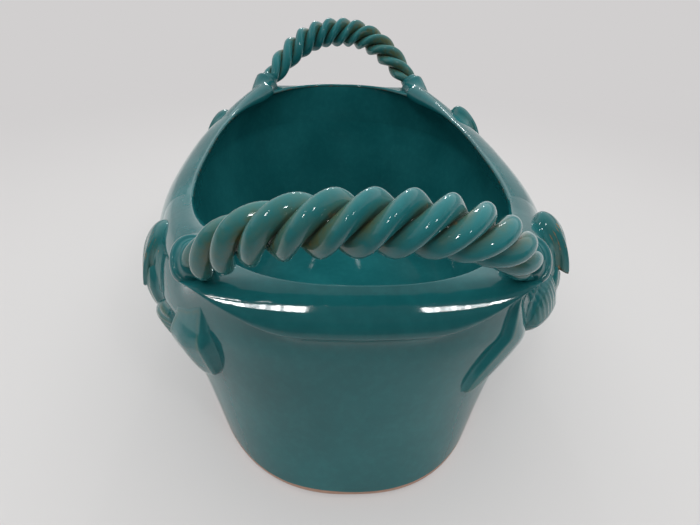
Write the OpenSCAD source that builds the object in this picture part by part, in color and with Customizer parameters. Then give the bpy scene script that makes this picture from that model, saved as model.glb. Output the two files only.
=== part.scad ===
// Oval glazed planter with a rolled lip at each narrow end, a twisted rope
// handle that leans out over each lip, and four clusters of applied leaves.
// The long axis lies on X, the width on Y, and the foot stands on Z = 0.
// The end towards +X is called the front, and left is towards -Y.

/* [Opening] */
// Half length of the opening, from the middle to the rim's inner edge
opening_half_l = 240; // [200:5:300]
// Half width of the opening at mid length
opening_half_w = 120; // [100:2:140]
// Height of the rim crest at the two ends
rim_h = 164; // [150:1:200]
// How far the rim dips at mid length
rim_dip = 7; // [0:1:16]

/* [Bowl] */
// Half length of the base
base_half_l = 240; // [200:2:300]
// Half width of the base
base_half_w = 117; // [90:1:140]
// Half length at the height of the belly
belly_half_l = 246; // [205:2:310]
// Half width at the belly, where the sides bulge most
belly_half_w = 147; // [125:1:170]
// Height of the belly above the ground
belly_h = 118; // [100:1:130]
// Thickness of the wall
wall = 7; // [5:0.5:10]
// Thickness of the floor
floor_t = 8; // [5:0.5:12]
// Rounding of the wall into the floor, inside
floor_fillet = 12; // [6:1:20]
// Height of the unglazed foot that shows under the glaze
foot_h = 2.5; // [1.5:0.5:4]
// How far the foot is set in from the wall
foot_inset = 1.5; // [0.5:0.5:4]

/* [Lip] */
// How far the lip rolls out from the opening at the middle of an end
lip_w = 17; // [12:1:26]
// How far the lip's outer edge hangs below the crest there
lip_drop = 22; // [14:1:28]
// How far the lip's edge lies below the crest under the handle ends
lip_corner_drop = 1; // [0:0.5:8]

/* [Handles] */
// Half the distance between the two ends of a rope handle
handle_half_w = 88; // [76:1:96]
// How far a rope's ends stand inside the end of the opening
handle_inset = 9; // [0:1:14]
// Height of the rope's ends above the rim crest
handle_lift = 8; // [6:0.5:14]
// How far the top of the handle leans out past its ends
handle_lean = 47; // [20:1:60]
// How far the top of the handle rises above its ends
handle_rise = 48; // [40:1:80]
// Radius of the whole rope at the top of the handle
rope_r = 14.5; // [11:0.5:16]
// Radius of the whole rope at its ends
rope_end_r = 10.5; // [8:0.5:12]
// Turns that the strands make along one handle
rope_turns = 4.5; // [3:0.25:5]
// Radius of the rear rope at its top, which is a little thicker
rear_rope_r = 15; // [11:0.5:17]
// Turns along the rear handle
rear_rope_turns = 4.15; // [3:0.05:5]
// Where the first strand starts round the rope
rope_start = 60; // [0:5:120]

/* [Leaf clusters] */
// Distance along the belly from the middle of an end to the flower bud
bud_along = 176; // [172:1:182]
// The same distance at the rear end
rear_bud_along = 188; // [176:1:194]
// Half width of the bud at its open lower end
bud_half_w = 20; // [14:1:22]
// Height of the bud, from the shoulder down to its lower end
bud_h = 36; // [26:1:38]
// How far the bud's lower end stands out of the wall
bud_proud = 18; // [10:1:22]
// Half width of the smooth leaf that hangs from the bud
smooth_half_w = 14; // [10:1:15]
// Length of the smooth leaf
smooth_l = 32; // [24:1:40]
// How far the smooth leaf stands out of the wall
smooth_proud = 12; // [7:1:15]
// Half width of the veined leaf
leaf_half_w = 17; // [13:1:18]
// Length of the veined leaf
leaf_l = 50; // [40:1:60]
// How far the veined leaf stands out of the wall
leaf_proud = 13; // [6:0.5:15]
// Half width of the long leaf
blade_half_w = 20; // [14:1:21]
// Length of the long leaf
blade_l = 40; // [32:1:60]
// How far the long leaf stands out of the wall
blade_proud = 8; // [5:0.5:11]

/* [Hidden] */
ends = ["front", "rear"];
sides = ["right", "left"];
strands = ["1", "2", "3"];
corner_pieces = ["handle_root", "flower_bud", "smooth_leaf", "veined_leaf", "long_leaf"];

glaze = "#1f6f70";
rope_glaze = "#3f7f78";
leaf_glaze = "#2d7472";
bare_clay = "#c9a793";

// Steps round the bowl and round each strand
around = 72;
strand_sides = 8;
strand_rings = 64;
strand_count = len(strands);
// Power that squares the ovals' corners a little
corner_share = 0.8;
// Gap left between two pieces of clay
seat_gap = 0.4;
// Rounding under the wall
base_round = 3;
// Depth of the rim's rounded inner edge
rim_round = 3;
// Angle, and part of a station or an arch, over which a slope or a normal is measured
probe = 0.5;
probe_share = 0.01;

function mix(a, b, w) = a + (b - a) * w;
function ease(w) = let (c = min(1, max(0, w))) c * c * (3 - 2 * c);
function unit(v) = v / norm(v);
function signed_pow(v, e) = sign(v) * pow(abs(v), e);

// A squared oval in plan: t runs anticlockwise from the front end
function oval(t, a, b) = [a * signed_pow(cos(t), corner_share), b * signed_pow(sin(t), corner_share)];

// Half length and half width of the wall at height z: the sides swell in a quarter sine
function swell(z) = sin(90 * min(1, max(0, z / belly_h)));
function wall_l(z) = mix(base_half_l, belly_half_l, min(1, z / belly_h));
function wall_w(z) = mix(base_half_w, belly_half_w, swell(z));

// Place of a handle's end, and the angle of the opening's point nearest to it
root_x = opening_half_l - handle_inset;
root_z = rim_h + handle_lift;
corner_reach_share = 0.77;
corner_t = asin(pow(handle_half_w * corner_reach_share / opening_half_w, 1 / corner_share));

// Angle from the nearer end, 0 to 90, and a point of that quarter put into its own
function from_end(t) = let (w = (t % 180 + 180) % 180) min(w, 180 - w);
function in_quarter(t, p) = [p.x * (cos(t) < 0 ? -1 : 1), p.y * (sin(t) < 0 ? -1 : 1)];
// The lip's outer edge is an arc that ends outside a handle's end, and runs out on the side
lip_corner = [root_x, handle_half_w + rope_end_r];
lip_run_out = 14;
lip_round_power = 1.3;
function lip_turn(t) = 90 * min(1, from_end(t) / corner_t);
function lip_middle_share(t) = pow(max(0, cos(lip_turn(t))), lip_round_power);
function lip_edge(t) =
    let (
        f = from_end(t),
        arc = mix(root_x, opening_half_l + lip_w, lip_middle_share(t)),
        past = oval(f, opening_half_l, opening_half_w) - oval(corner_t, opening_half_l, opening_half_w)
    ) in_quarter(t, f <= corner_t ? [arc, lip_corner.y * sin(lip_turn(t))] : lip_corner + past);
function lip_share(t) = 1 - ease((from_end(t) - corner_t) / lip_run_out);
function lip_hang(t) = mix(lip_corner_drop, lip_drop, lip_middle_share(t));
function crest_z(t) = rim_h - rim_dip * (1 - pow(oval(t, 1, 1).x, 2));

// Eight stations from the belly up to the rim crest.
// On the side they follow a round shoulder, at the ends a rolled lip.
shoulder_in_shares = [0.98, 0.93, 0.84, 0.72, 0.57, 0.40, 0.22, 0.08];
shoulder_up_shares = [0.25, 0.45, 0.62, 0.76, 0.87, 0.94, 0.985, 1];
lip_out_shares = [0.06, 0.42, 0.86, 1, 0.92, 0.66, 0.34, 0.1];
lip_edge_station = 3;
lip_low_shares = [0.5, 0.82, 0.96, 1, 1, 1, 1, 1];
lip_high_shares = [0, 0, 0, 0.16, 0.52, 0.82, 0.97, 1];
wall_stations = 4;
rim_stations = len(lip_out_shares);
crest_q = wall_stations + rim_stations;
foot_z = foot_h + base_round;

// The outer skin: q counts stations from the foot (0) to the belly (4) and the crest (12)
function wall_point(t, q) =
    let (z = mix(foot_z, belly_h, q / wall_stations), p = oval(t, wall_l(z), wall_w(z))) [p.x, p.y, z];
function rim_point(t, k) =
    let (
        inner = oval(t, opening_half_l, opening_half_w),
        belly = oval(t, belly_half_l, belly_half_w),
        e = lip_share(t),
        p_side = mix(inner, belly, shoulder_in_shares[k]),
        p_lip = mix(k < lip_edge_station ? belly : inner, lip_edge(t), lip_out_shares[k]),
        p = mix(p_side, p_lip, e),
        top = crest_z(t),
        edge = top - lip_hang(t),
        z_side = mix(belly_h, top, shoulder_up_shares[k]),
        z_lip = mix(mix(belly_h, edge, lip_low_shares[k]), top, lip_high_shares[k])
    ) [p.x, p.y, mix(z_side, z_lip, e)];
function station(t, j) = j <= wall_stations ? wall_point(t, j) : rim_point(t, j - wall_stations - 1);
function skin(t, q) =
    let (j = min(crest_q - 1, floor(q))) mix(station(t, j), station(t, j + 1), q - j);
function skin_normal(t, q) =
    unit(cross(skin(t + probe, q) - skin(t - probe, q),
               skin(t, min(crest_q, q + probe)) - skin(t, q - probe)));
function above_skin(t, q, off) = skin(t, q) + skin_normal(t, q) * off;

// A closed skin over a stack of rings, closed by a point at each end
module loft(rings, start, finish) {
    n = len(rings[0]);
    m = len(rings);
    points = concat([for (r = rings) each r], [start, finish]);
    sides = [for (j = [0:m - 2], i = [0:n - 1])
        let (a = j * n + i, b = j * n + (i + 1) % n) each [[a, a + n, b + n], [a, b + n, b]]];
    caps = [for (i = [0:n - 1])
        let (a = i, b = (i + 1) % n, last = (m - 1) * n)
            each [[n * m, a, b], [last + a, n * m + 1, last + b]]];
    polyhedron(points, concat(sides, caps));
}

turn_steps = [for (i = [0:around - 1]) 360 * i / around];
inner_rim_stations = [6, 4, 2];
inner_wall_stations = [4, 3, 2, 1];
floor_z = foot_h + floor_t;

// Inside of the bowl: the shoulder's own curve, drawn in by the wall and held lower
inner_up_power = 1.6;
function inner_shoulder(t, k) =
    let (
        inner = oval(t, opening_half_l, opening_half_w),
        belly = oval(t, belly_half_l - wall, belly_half_w - wall),
        p = mix(inner, belly, shoulder_in_shares[k])
    ) [p.x, p.y, mix(belly_h, crest_z(t) - rim_round, pow(shoulder_up_shares[k], inner_up_power))];
function inner_wall(t, z, inset) =
    let (p = oval(t, wall_l(z) - inset, wall_w(z) - inset)) [p.x, p.y, z];

module pot_body() {
    under = [for (t = turn_steps)
        let (p = oval(t, base_half_l - base_round, base_half_w - base_round)) [p.x, p.y, foot_h]];
    outer = [for (j = [0:crest_q]) [for (t = turn_steps) station(t, j)]];
    edge = [for (t = turn_steps)
        let (p = oval(t, opening_half_l, opening_half_w)) [p.x, p.y, crest_z(t) - rim_round]];
    shoulder = [for (k = inner_rim_stations) [for (t = turn_steps) inner_shoulder(t, k)]];
    inside = [for (j = inner_wall_stations)
        let (z = mix(floor_z + floor_fillet, belly_h, j / wall_stations))
            [for (t = turn_steps) inner_wall(t, z, wall)]];
    low = [for (t = turn_steps) inner_wall(t, floor_z + floor_fillet, wall)];
    fillet_in = floor_fillet * (1 - cos(45));
    mid = [for (t = turn_steps) inner_wall(t, floor_z + fillet_in, wall + fillet_in)];
    flat = [for (t = turn_steps) inner_wall(t, floor_z, wall + floor_fillet)];
    color(glaze)
        loft(concat([under], outer, [edge], shoulder, inside, [low, mid, flat]),
             [0, 0, foot_h], [0, 0, floor_z]);
}

// The dry clay that the pot stands on, with no glaze
module unglazed_foot() {
    inset = base_round + foot_inset;
    color(bare_clay)
        linear_extrude(foot_h)
            polygon([for (t = turn_steps) oval(t, base_half_l - inset, base_half_w - inset)]);
}

// The rope's centre line is a flattened arch in a plane that leans out, u = -1 to 1
arch_power = 2.27;
function arch(u) =
    let (a = 1 - pow(abs(u), arch_power))
        [root_x + handle_lean * a, handle_half_w * u, root_z + handle_rise * a];
function arch_dir(u) = unit(arch(min(1, u + probe_share)) - arch(max(-1, u - probe_share)));
arch_out = unit([handle_rise, 0, -handle_lean]);
function rope_radius(u, top_r) = mix(rope_end_r, top_r, sqrt(max(0, 1 - u * u)));

// Stations spaced evenly along the arch
arch_steps = 200;
arch_points = [for (i = [0:arch_steps]) arch(2 * i / arch_steps - 1)];
arch_run = [for (i = 0, s = 0; i <= arch_steps;
                 i = i + 1, s = i > arch_steps ? s : s + norm(arch_points[i] - arch_points[i - 1]))
                 [s, 2 * i / arch_steps - 1]];
arch_length = arch_run[arch_steps][0];
function arch_u(share) = lookup(share * arch_length, arch_run);

// Each strand is a flattened round that winds about the centre line
strand_r_share = 0.46;
strand_width_share = 0.44;
module rope_strand(k, top_r, turns) {
    rings = [for (i = [0:strand_rings])
        let (
            share = i / strand_rings,
            u = arch_u(share),
            dir = arch_dir(u),
            side = cross(dir, arch_out),
            r = rope_radius(u, top_r),
            turn = rope_start + 360 * (turns * share + k / strand_count),
            radial = side * cos(turn) + arch_out * sin(turn),
            sideways = cross(dir, radial),
            middle = arch(u) + radial * r * (1 - strand_r_share)
        ) [for (s = [0:strand_sides - 1])
            let (w = 360 * s / strand_sides - turn)
                middle + radial * r * strand_r_share * cos(w) + sideways * r * strand_width_share * sin(w)]];
    first = rings[0];
    last = rings[strand_rings];
    color(rope_glaze)
        loft(rings, (first[0] + first[strand_sides / 2]) / 2, (last[0] + last[strand_sides / 2]) / 2);
}

// A handle's root: a strap that leaves the rope's end, bends down onto the rim and sinks into it
root_points = 16;
root_gap = 0.7;
root_bends = 4;
// The strap's rings lie on the bowl's own steps, so that both have the same facets
turn_step = 360 / around;
root_first_t = turn_step * ceil((corner_t + probe) / turn_step);
root_step_shares = [0, 1, 2, 3];
function root_t(j) = root_first_t + turn_step * root_step_shares[j];
// Middle and half width of the strap in stations across the rim, and its height above it
root_mid_qs = [10, 9.8, 9.6, 9.6];
root_half_qs = [1.7, 2, 2.1, 1.7];
root_rise_shares = [1, 0.66, 0.42, 0.26];
module handle_root() {
    dir = arch_dir(1);
    up = unit([0, 0, 1] - dir * dir.z);
    outward = cross(dir, up);
    centre = arch(1) + dir * seat_gap;
    steps = [for (i = [0:root_points - 1]) -360 * i / root_points];
    last = len(root_mid_qs) - 1;
    function disc_point(w) = centre + (outward * cos(w) + up * sin(w)) * rope_end_r;
    function strap_point(j, w) =
        above_skin(root_t(j), root_mid_qs[j] - root_half_qs[j] * cos(w),
                   root_gap + rope_end_r * root_rise_shares[j] * max(0, sin(w)));
    function bend(w, v) =
        let (
            a = disc_point(w),
            c = strap_point(0, w),
            b = mix((a + c) / 2, a + dir * rope_end_r, max(0, sin(w)))
        ) a * (1 - v) * (1 - v) + b * 2 * v * (1 - v) + c * v * v;
    rings = concat(
        [for (j = [0:root_bends - 1]) [for (w = steps) bend(w, j / root_bends)]],
        [for (j = [0:last]) [for (w = steps) strap_point(j, w)]]
    );
    color(glaze)
        loft(rings, centre, above_skin(root_t(last) + probe, root_mid_qs[last], root_gap * 2));
}

// Distance along the belly against the angle t, for placing the leaves
girth_steps = 60;
function girth_point(i) = oval(90 * i / girth_steps, belly_half_l, belly_half_w);
girth_run = [for (i = 0, s = 0; i <= girth_steps;
                  i = i + 1, s = i > girth_steps ? s : s + norm(girth_point(i) - girth_point(i - 1)))
                  [s, 90 * i / girth_steps]];
function girth_t(s) = lookup(s, girth_run);
// Height on the wall against the station q, carried on up the shoulder
shoulder_run = norm([belly_half_w - opening_half_w, rim_h - rim_dip - belly_h]);
function height_q(h) =
    h <= belly_h ? wall_stations * (h - foot_z) / (belly_h - foot_z)
                 : wall_stations + rim_stations * (h - belly_h) / shoulder_run;

// A piece of relief: rings across a spine that runs down the wall from one
// place to another, both given as distance along the belly and height
relief_across = 8;
first_ring_share = 0.02;
edge_t = 1.6;
module relief(from, to, rings, half_w, rise) {
    run = to - from;
    across = unit([-run.y, run.x]);
    function place(u, v, off) =
        let (p = from + run * u + across * half_w(u) * v)
            above_skin(girth_t(p.x), height_q(p.y), seat_gap + off);
    us = [for (i = [0:rings]) mix(first_ring_share, 1 - first_ring_share, (1 - cos(180 * i / rings)) / 2)];
    vs = [for (i = [0:relief_across]) 1 - 2 * i / relief_across];
    sections = [for (u = us) concat(
        [for (v = vs) place(u, v, edge_t + rise(u, v))],
        [for (v = vs) place(u, -v, 0)]
    )];
    loft(sections, place(0, 0, edge_t / 2), place(1, 0, edge_t / 2));
}

// The cluster hangs from the bud: a ribbed bell with a smooth leaf under it,
// and the veined leaf and the long leaf beside them towards the end
cluster_gap = 1.2;
bud_low = belly_h + cluster_gap;
leaf_top = bud_low - cluster_gap;
// How full a piece is along its length: a low power gives a blunt end, a high one a point
function round_share(u, power) = pow(max(0, 1 - pow(2 * u - 1, 2)), power / 2);
blunt_power = 0.45;
leaf_power = 0.8;
plain_rings = 12;

bud_top_share = 0.45;
bud_top_proud_share = 0.3;
flute_share = 0.16;
bud_flutes = 3;
function flutes(v) = 1 - flute_share * (1 - cos(360 * bud_flutes * v)) / 2;
module flower_bud(shift) {
    color(leaf_glaze)
        relief([bud_along + shift, bud_low + bud_h], [bud_along + shift, bud_low], plain_rings,
            function (u) bud_half_w * mix(bud_top_share, 1, ease(u)) * round_share(u, blunt_power),
            function (u, v) bud_proud * mix(bud_top_proud_share, 1, u) * round_share(u, blunt_power)
                * sqrt(1 - v * v) * mix(1, flutes(v), ease(u)));
}

leaf_top_share = 0.12;
smooth_along = bud_along + bud_half_w - smooth_half_w;
hollow_share = 0.35;
module smooth_leaf(shift) {
    along = smooth_along + shift;
    color(leaf_glaze)
        relief([along, leaf_top], [along - cluster_gap, leaf_top - smooth_l], plain_rings,
            function (u) smooth_half_w * round_share(mix(leaf_top_share, 1, u), leaf_power),
            function (u, v) smooth_proud * round_share(mix(leaf_top_share, 1, u), leaf_power)
                * (1 - v * v) * (1 - hollow_share * round_share(min(1, u * 2), 2) * pow(cos(90 * v), 2)));
}

leaf_along = smooth_along - smooth_half_w - leaf_half_w - cluster_gap * 2;
leaf_ribs = 6;
rings_per_rib = 4;
leaf_side_share = 0.7;
rib_depth_share = 0.08;
scallop_share = 0.03;
module veined_leaf(shift) {
    along = leaf_along + shift;
    color(leaf_glaze)
        relief([along, leaf_top], [along + cluster_gap, leaf_top - leaf_l],
            leaf_ribs * rings_per_rib,
            function (u) leaf_half_w * round_share(mix(leaf_top_share, 1, u), leaf_power)
                * (1 - scallop_share * (1 + cos(360 * leaf_ribs * u))),
            function (u, v) leaf_proud * round_share(mix(leaf_top_share / 2, 1, u), leaf_power)
                * (1 - leaf_side_share * v * v
                   - rib_depth_share * round_share(u, 1) * (1 + cos(360 * (leaf_ribs * u + abs(v) / 2)))));
}

// The leaves taper, so their full widths may overlap a little
leaf_taper = 2;
blade_along = leaf_along - leaf_half_w - blade_half_w + leaf_taper;
blade_lean = 12;
// The long leaf runs up under the lip
blade_up = 5;
blade_top_share = 0.3;
valley_share = 0.3;
border_power = 10;
module long_leaf(shift) {
    along = blade_along + shift;
    color(leaf_glaze)
        relief([along, leaf_top + blade_up], [along - blade_lean, leaf_top - blade_l], plain_rings,
            function (u) blade_half_w * round_share(mix(blade_top_share, 1, u), leaf_power),
            function (u, v) blade_proud * round_share(mix(blade_top_share / 2, 1, u), blunt_power)
                * (1 - pow(abs(v), border_power) - valley_share * pow(sin(180 * v), 2)));
}

// The pieces of a corner are drawn at the front right; the rear clusters sit further from the end
module corner_piece(piece, shift) {
    if (piece == "handle_root") handle_root();
    if (piece == "flower_bud") flower_bud(shift);
    if (piece == "smooth_leaf") smooth_leaf(shift);
    if (piece == "veined_leaf") veined_leaf(shift);
    if (piece == "long_leaf") long_leaf(shift);
}

pot_body();
unglazed_foot();
for (k = [0:strand_count - 1]) {
    rope_strand(k, rope_r, rope_turns);
    rotate(180) rope_strand(k, rear_rope_r, rear_rope_turns);
}
for (e = [0, 1], f = [0, 1], piece = corner_pieces)
    mirror([e, 0, 0]) mirror([0, f, 0]) corner_piece(piece, e * (rear_bud_along - bud_along));
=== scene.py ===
import math
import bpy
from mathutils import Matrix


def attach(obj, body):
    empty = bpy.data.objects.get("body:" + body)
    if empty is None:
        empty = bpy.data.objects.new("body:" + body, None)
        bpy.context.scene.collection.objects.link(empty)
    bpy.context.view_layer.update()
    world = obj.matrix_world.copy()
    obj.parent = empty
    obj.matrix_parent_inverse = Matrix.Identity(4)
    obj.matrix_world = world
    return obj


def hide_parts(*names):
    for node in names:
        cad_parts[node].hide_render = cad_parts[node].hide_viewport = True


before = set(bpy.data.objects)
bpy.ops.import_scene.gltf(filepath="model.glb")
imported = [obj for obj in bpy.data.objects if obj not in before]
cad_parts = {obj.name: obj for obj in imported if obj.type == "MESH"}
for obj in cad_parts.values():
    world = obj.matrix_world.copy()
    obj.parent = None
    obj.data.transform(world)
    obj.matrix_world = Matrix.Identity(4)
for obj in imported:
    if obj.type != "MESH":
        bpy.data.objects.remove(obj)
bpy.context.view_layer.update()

from types import SimpleNamespace

import bmesh
import bpy
import numpy as np
from bpy.props import FloatProperty, FloatVectorProperty, PointerProperty
from mathutils import Matrix, Vector

bl_info = {
    "name": "Oval Rope-Handled Planter",
    "version": (1, 0, 0),
    "blender": (4, 5, 0),
    "location": "3D View > Sidebar > Planter",
    "description": "Builds a glazed oval planter with twisted rope handles and applied leaves",
    "category": "Add Mesh",
}

MM = 0.001
TURN = 2 * math.pi
ENDS = {"front": 1, "rear": -1}
SIDES = {"right": 1, "left": -1}


def srgb(code):
    """A hex colour such as "1f6f70" as linear red, green and blue."""
    c = np.array([int(code[i:i + 2], 16) for i in (0, 2, 4)]) / 255
    return tuple(np.where(c <= 0.04045, c / 12.92, ((c + 0.055) / 1.055) ** 2.4))


def length(label, text, metres):
    """A length in metres that a user may change."""
    return FloatProperty(name=label, description=text, default=metres, min=0,
                         subtype="DISTANCE", unit="LENGTH", precision=4)


def colour(label, text, code):
    """A colour that a user may change."""
    return FloatVectorProperty(name=label, description=text, default=srgb(code), size=3,
                               min=0, max=1, subtype="COLOR")


class PlanterBowl(bpy.types.PropertyGroup):
    """Sizes of the bowl and its lips."""
    opening_half_l: length("Opening half length", "From the middle to the rim's inner edge", 0.240)
    opening_half_w: length("Opening half width", "Half width of the opening at mid length", 0.120)
    rim_h: length("Rim height", "Height of the rim crest at the two ends", 0.164)
    rim_dip: length("Rim dip", "How far the rim dips at mid length", 0.007)
    base_half_l: length("Base half length", "Half length of the base", 0.240)
    base_half_w: length("Base half width", "Half width of the base", 0.1155)
    belly_half_l: length("Belly half length", "Half length at the belly", 0.246)
    belly_half_w: length("Belly half width", "Half width where the sides bulge most", 0.150)
    right_bulge: length("Right bulge", "How much further the right side's belly stands out", 0.0035)
    right_tuck: length("Right tuck", "How much less far its base does", 0.0045)
    belly_h: length("Belly height", "Height of the belly above the ground", 0.118)
    wall: length("Wall", "Thickness of the wall", 0.007)
    floor_t: length("Floor", "Thickness of the floor", 0.008)
    floor_fillet: length("Floor fillet", "Rounding of the wall into the floor", 0.012)
    foot_h: length("Foot height", "Height of the unglazed foot", 0.0025)
    foot_inset: length("Foot inset", "How far the foot is set in from the wall", 0.0015)
    lip_w: length("Lip width", "How far the lip rolls out at the middle of an end", 0.017)
    lip_drop: length("Lip drop", "How far the lip's edge hangs below the crest", 0.0235)
    lip_corner_drop: length("Lip corner drop", "The same under the handle ends", 0.001)


class PlanterRope(bpy.types.PropertyGroup):
    """Sizes of the rope handles."""
    half_span: length("Half span", "Half the distance between a rope's ends", 0.084)
    inset: length("Inset", "How far a rope's ends stand inside the end of the opening", 0.009)
    lift: length("Lift", "Height of the rope's ends above the rim crest", 0.008)
    lean: length("Lean", "How far the top of the handle leans out", 0.047)
    rise: length("Rise", "How far the top of the handle rises", 0.0445)
    rear_rise: length("Rear rise", "The same for the rear handle", 0.048)
    rope_r: length("Rope radius", "Radius of the rope at the top of the handle", 0.0145)
    rope_end_r: length("End radius", "Radius of the rope at its ends", 0.0095)
    tail: length("Tail", "How far the rope runs on down into the cup at its end", 0.009)
    cup_w: length("Cup width", "Half width of the brim round the rope's end", 0.0118)
    cup_h: length("Cup height", "How far that brim's back stands above its middle", 0.0155)
    arch_power: FloatProperty(name="Arch power", default=2.8, min=2, max=4,
                              description="How flat the arch runs over its top")
    rear_power: FloatProperty(name="Rear arch power", default=2.4, min=2, max=4,
                              description="The same for the rear handle")
    turns: FloatProperty(name="Turns", default=3.75, min=2, max=6,
                         description="Turns the strands make along a handle")
    rear_turns: FloatProperty(name="Rear turns", default=3.75, min=2, max=6,
                              description="Turns along the rear handle")
    rear_thick: FloatProperty(name="Rear thickness", default=1.16, min=0.8, max=1.3,
                              description="Thickness of the rear rope against the front's")


class PlanterLeaves(bpy.types.PropertyGroup):
    """Sizes of the flower buds and leaves at the four corners."""
    bud_along: length("Bud place", "Along the belly from the middle of the front end", 0.178)
    rear_shift: length("Rear shift", "How much further from its end a rear cluster sits", 0.016)
    right_lean: length("Right lean", "How much more the leaves at the right lean to the end", 0.018)
    bud_half_w: length("Bud half width", "Half width of the bud's open lower end", 0.018)
    bud_h: length("Bud height", "From the shoulder down to the lower end", 0.031)
    bud_proud: length("Bud relief", "How far the bud stands out of the wall", 0.012)
    smooth_half_w: length("Smooth leaf half width", "Half width of the smooth leaf", 0.015)
    smooth_l: length("Smooth leaf length", "Length of the smooth leaf", 0.032)
    smooth_proud: length("Smooth leaf relief", "How far it stands out", 0.009)
    leaf_half_w: length("Veined leaf half width", "Half width of the veined leaf", 0.018)
    leaf_l: length("Veined leaf length", "Length of the veined leaf", 0.046)
    leaf_proud: length("Veined leaf relief", "How far it stands out", 0.0075)
    blade_half_w: length("Long leaf half width", "Half width of the long leaf", 0.0165)
    blade_l: length("Long leaf length", "Length of the long leaf", 0.042)
    blade_proud: length("Long leaf relief", "How far it stands out", 0.008)
    mound: length("Mound", "How far the wall swells under a cluster", 0.004)


class PlanterFinish(bpy.types.PropertyGroup):
    """Colours of the glaze, the clay and the studio floor."""
    teal: colour("Teal glaze", "The glaze where it lies thick", "165f63")
    light_teal: colour("Thin glaze", "The glaze where it runs thin over a crest", "2c8286")
    wash: colour("Oxide wash", "Olive brown wash that settles beside the grooves", "5d6038")
    speck: colour("Specks", "Amber where the glaze breaks beside the ropes' grooves", "9a6a2c")
    # Groove line: the dark wash pooled in the ropes' deepest grooves, deepened there as painted shade,
    # and painted shade along the inner rim
    groove: colour("Groove line", "Dark wash in the deepest grooves", "2a2c1c")
    worn: colour("Worn edge", "Brown where the glaze breaks over an edge", "4a3a22")
    clay: colour("Bare clay", "Dry pinkish clay under the glaze", "c39a86")
    floor: colour("Floor", "Pale studio floor", "e4e3e2")
    backdrop: colour("Backdrop", "Pale backdrop far behind the pot", "d1cfcf")


# Shapes, in millimetres

PLAN_POWER = 0.8
# Added to that power half way up the wall, and once more at the right
ROUNDER, ROUNDER_RIGHT = 0.09, 0.05
BASE_ROUND, RIM_ROUND = 3.0, 3.0
# Places on the skin, counted up the outside, over the rim and down the inside
BELLY, CREST, INNER_BELLY = 4, 12, 21
# The shoulder from the belly to the crest: how far out and how high, as shares
SHOULDER_IN = np.array([1, .98, .93, .84, .72, .57, .40, .22, .08])
SHOULDER_UP = np.array([0, .25, .45, .62, .76, .87, .94, .985, 1])
# The lip over the same steps: how far out, how high below its edge and how high above it
LIP_OUT = np.array([0, .06, .42, .86, 1, .90, .66, .36, .08])
LIP_LOW = np.array([0, .5, .82, .96, 1, 1, 1, 1, 1])
LIP_HIGH = np.array([0, 0, 0, 0, .14, .40, .66, .87, 1])
# The lip is widest at its edge, swells to its middle by this power, and blends into the shoulder
# over so many degrees past its corner
LIP_EDGE, LIP_POWER, LIP_BLEND = 4, 1.3, 14
# The corner's place as a share of the handle's half span, and how far the lip passes the cup there
CORNER_SHARE, CORNER_MARGIN = 0.77, 2
# The lip's hang runs out from the first share of the way to its corner over the second
HANG_FROM, HANG_OVER = 0.24, 0.58
# Angles from an end for the distance along the belly
GIRTH_T = np.linspace(0, 90, 181)
# A cluster's swelling: how far before the bud and below the belly it peaks, and how wide and high
MOUND_BACK, MOUND_DOWN, MOUND_WIDE, MOUND_HIGH = 28, 12, 42, 30
# Rings of the bowl: under it, up its wall, over its rim, round the edge, down its inside, low in it,
# round its floor and across that
RINGS = SimpleNamespace(under=5, wall=29, rim=57, edge=7, inside=41, low=16, fillet=9, floor=7)


def mix(a, b, w):
    """a at w 0, b at w 1, and in proportion between."""
    return a + (b - a) * w


def ease(w):
    """3 w^2 - 2 w^3, held at 0 below 0 and at 1 above 1."""
    c = np.clip(w, 0, 1)
    return c * c * (3 - 2 * c)


def bell(x, place, width):
    """exp(-((x - place) / width)^2): 1 at place and nothing two widths away."""
    return np.exp(-((x - place) / width) ** 2)


def unit(v):
    """v divided by its own length."""
    return v / np.maximum(np.linalg.norm(v, axis=-1, keepdims=True), 1e-9)


def curve(table, r):
    """A table of values read at r between its entries, on a cubic through each four."""
    table = np.concatenate([[2 * table[0] - table[1]], table, [2 * table[-1] - table[-2]]])
    j = np.clip(np.floor(r).astype(int), 0, len(table) - 4)
    f = r - j
    a, b, c, d = (table[j + i] for i in range(4))
    return b + f / 2 * (c - a + f * (2 * a - 5 * b + 4 * c - d + f * (3 * (b - c) + d - a)))


def oval(t, a, b, power=PLAN_POWER):
    """Squared oval in plan: x = a cos^power t and y = b sin^power t, signs kept, t in degrees."""
    c, s = np.cos(np.radians(t)), np.sin(np.radians(t))
    return np.stack(np.broadcast_arrays(a * np.sign(c) * np.abs(c) ** power,
                                        b * np.sign(s) * np.abs(s) ** power), -1)


def solid(xy, z):
    """Points in plan joined with their heights."""
    return np.concatenate([xy, np.broadcast_to(z, xy.shape[:-1])[..., None]], -1)


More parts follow.
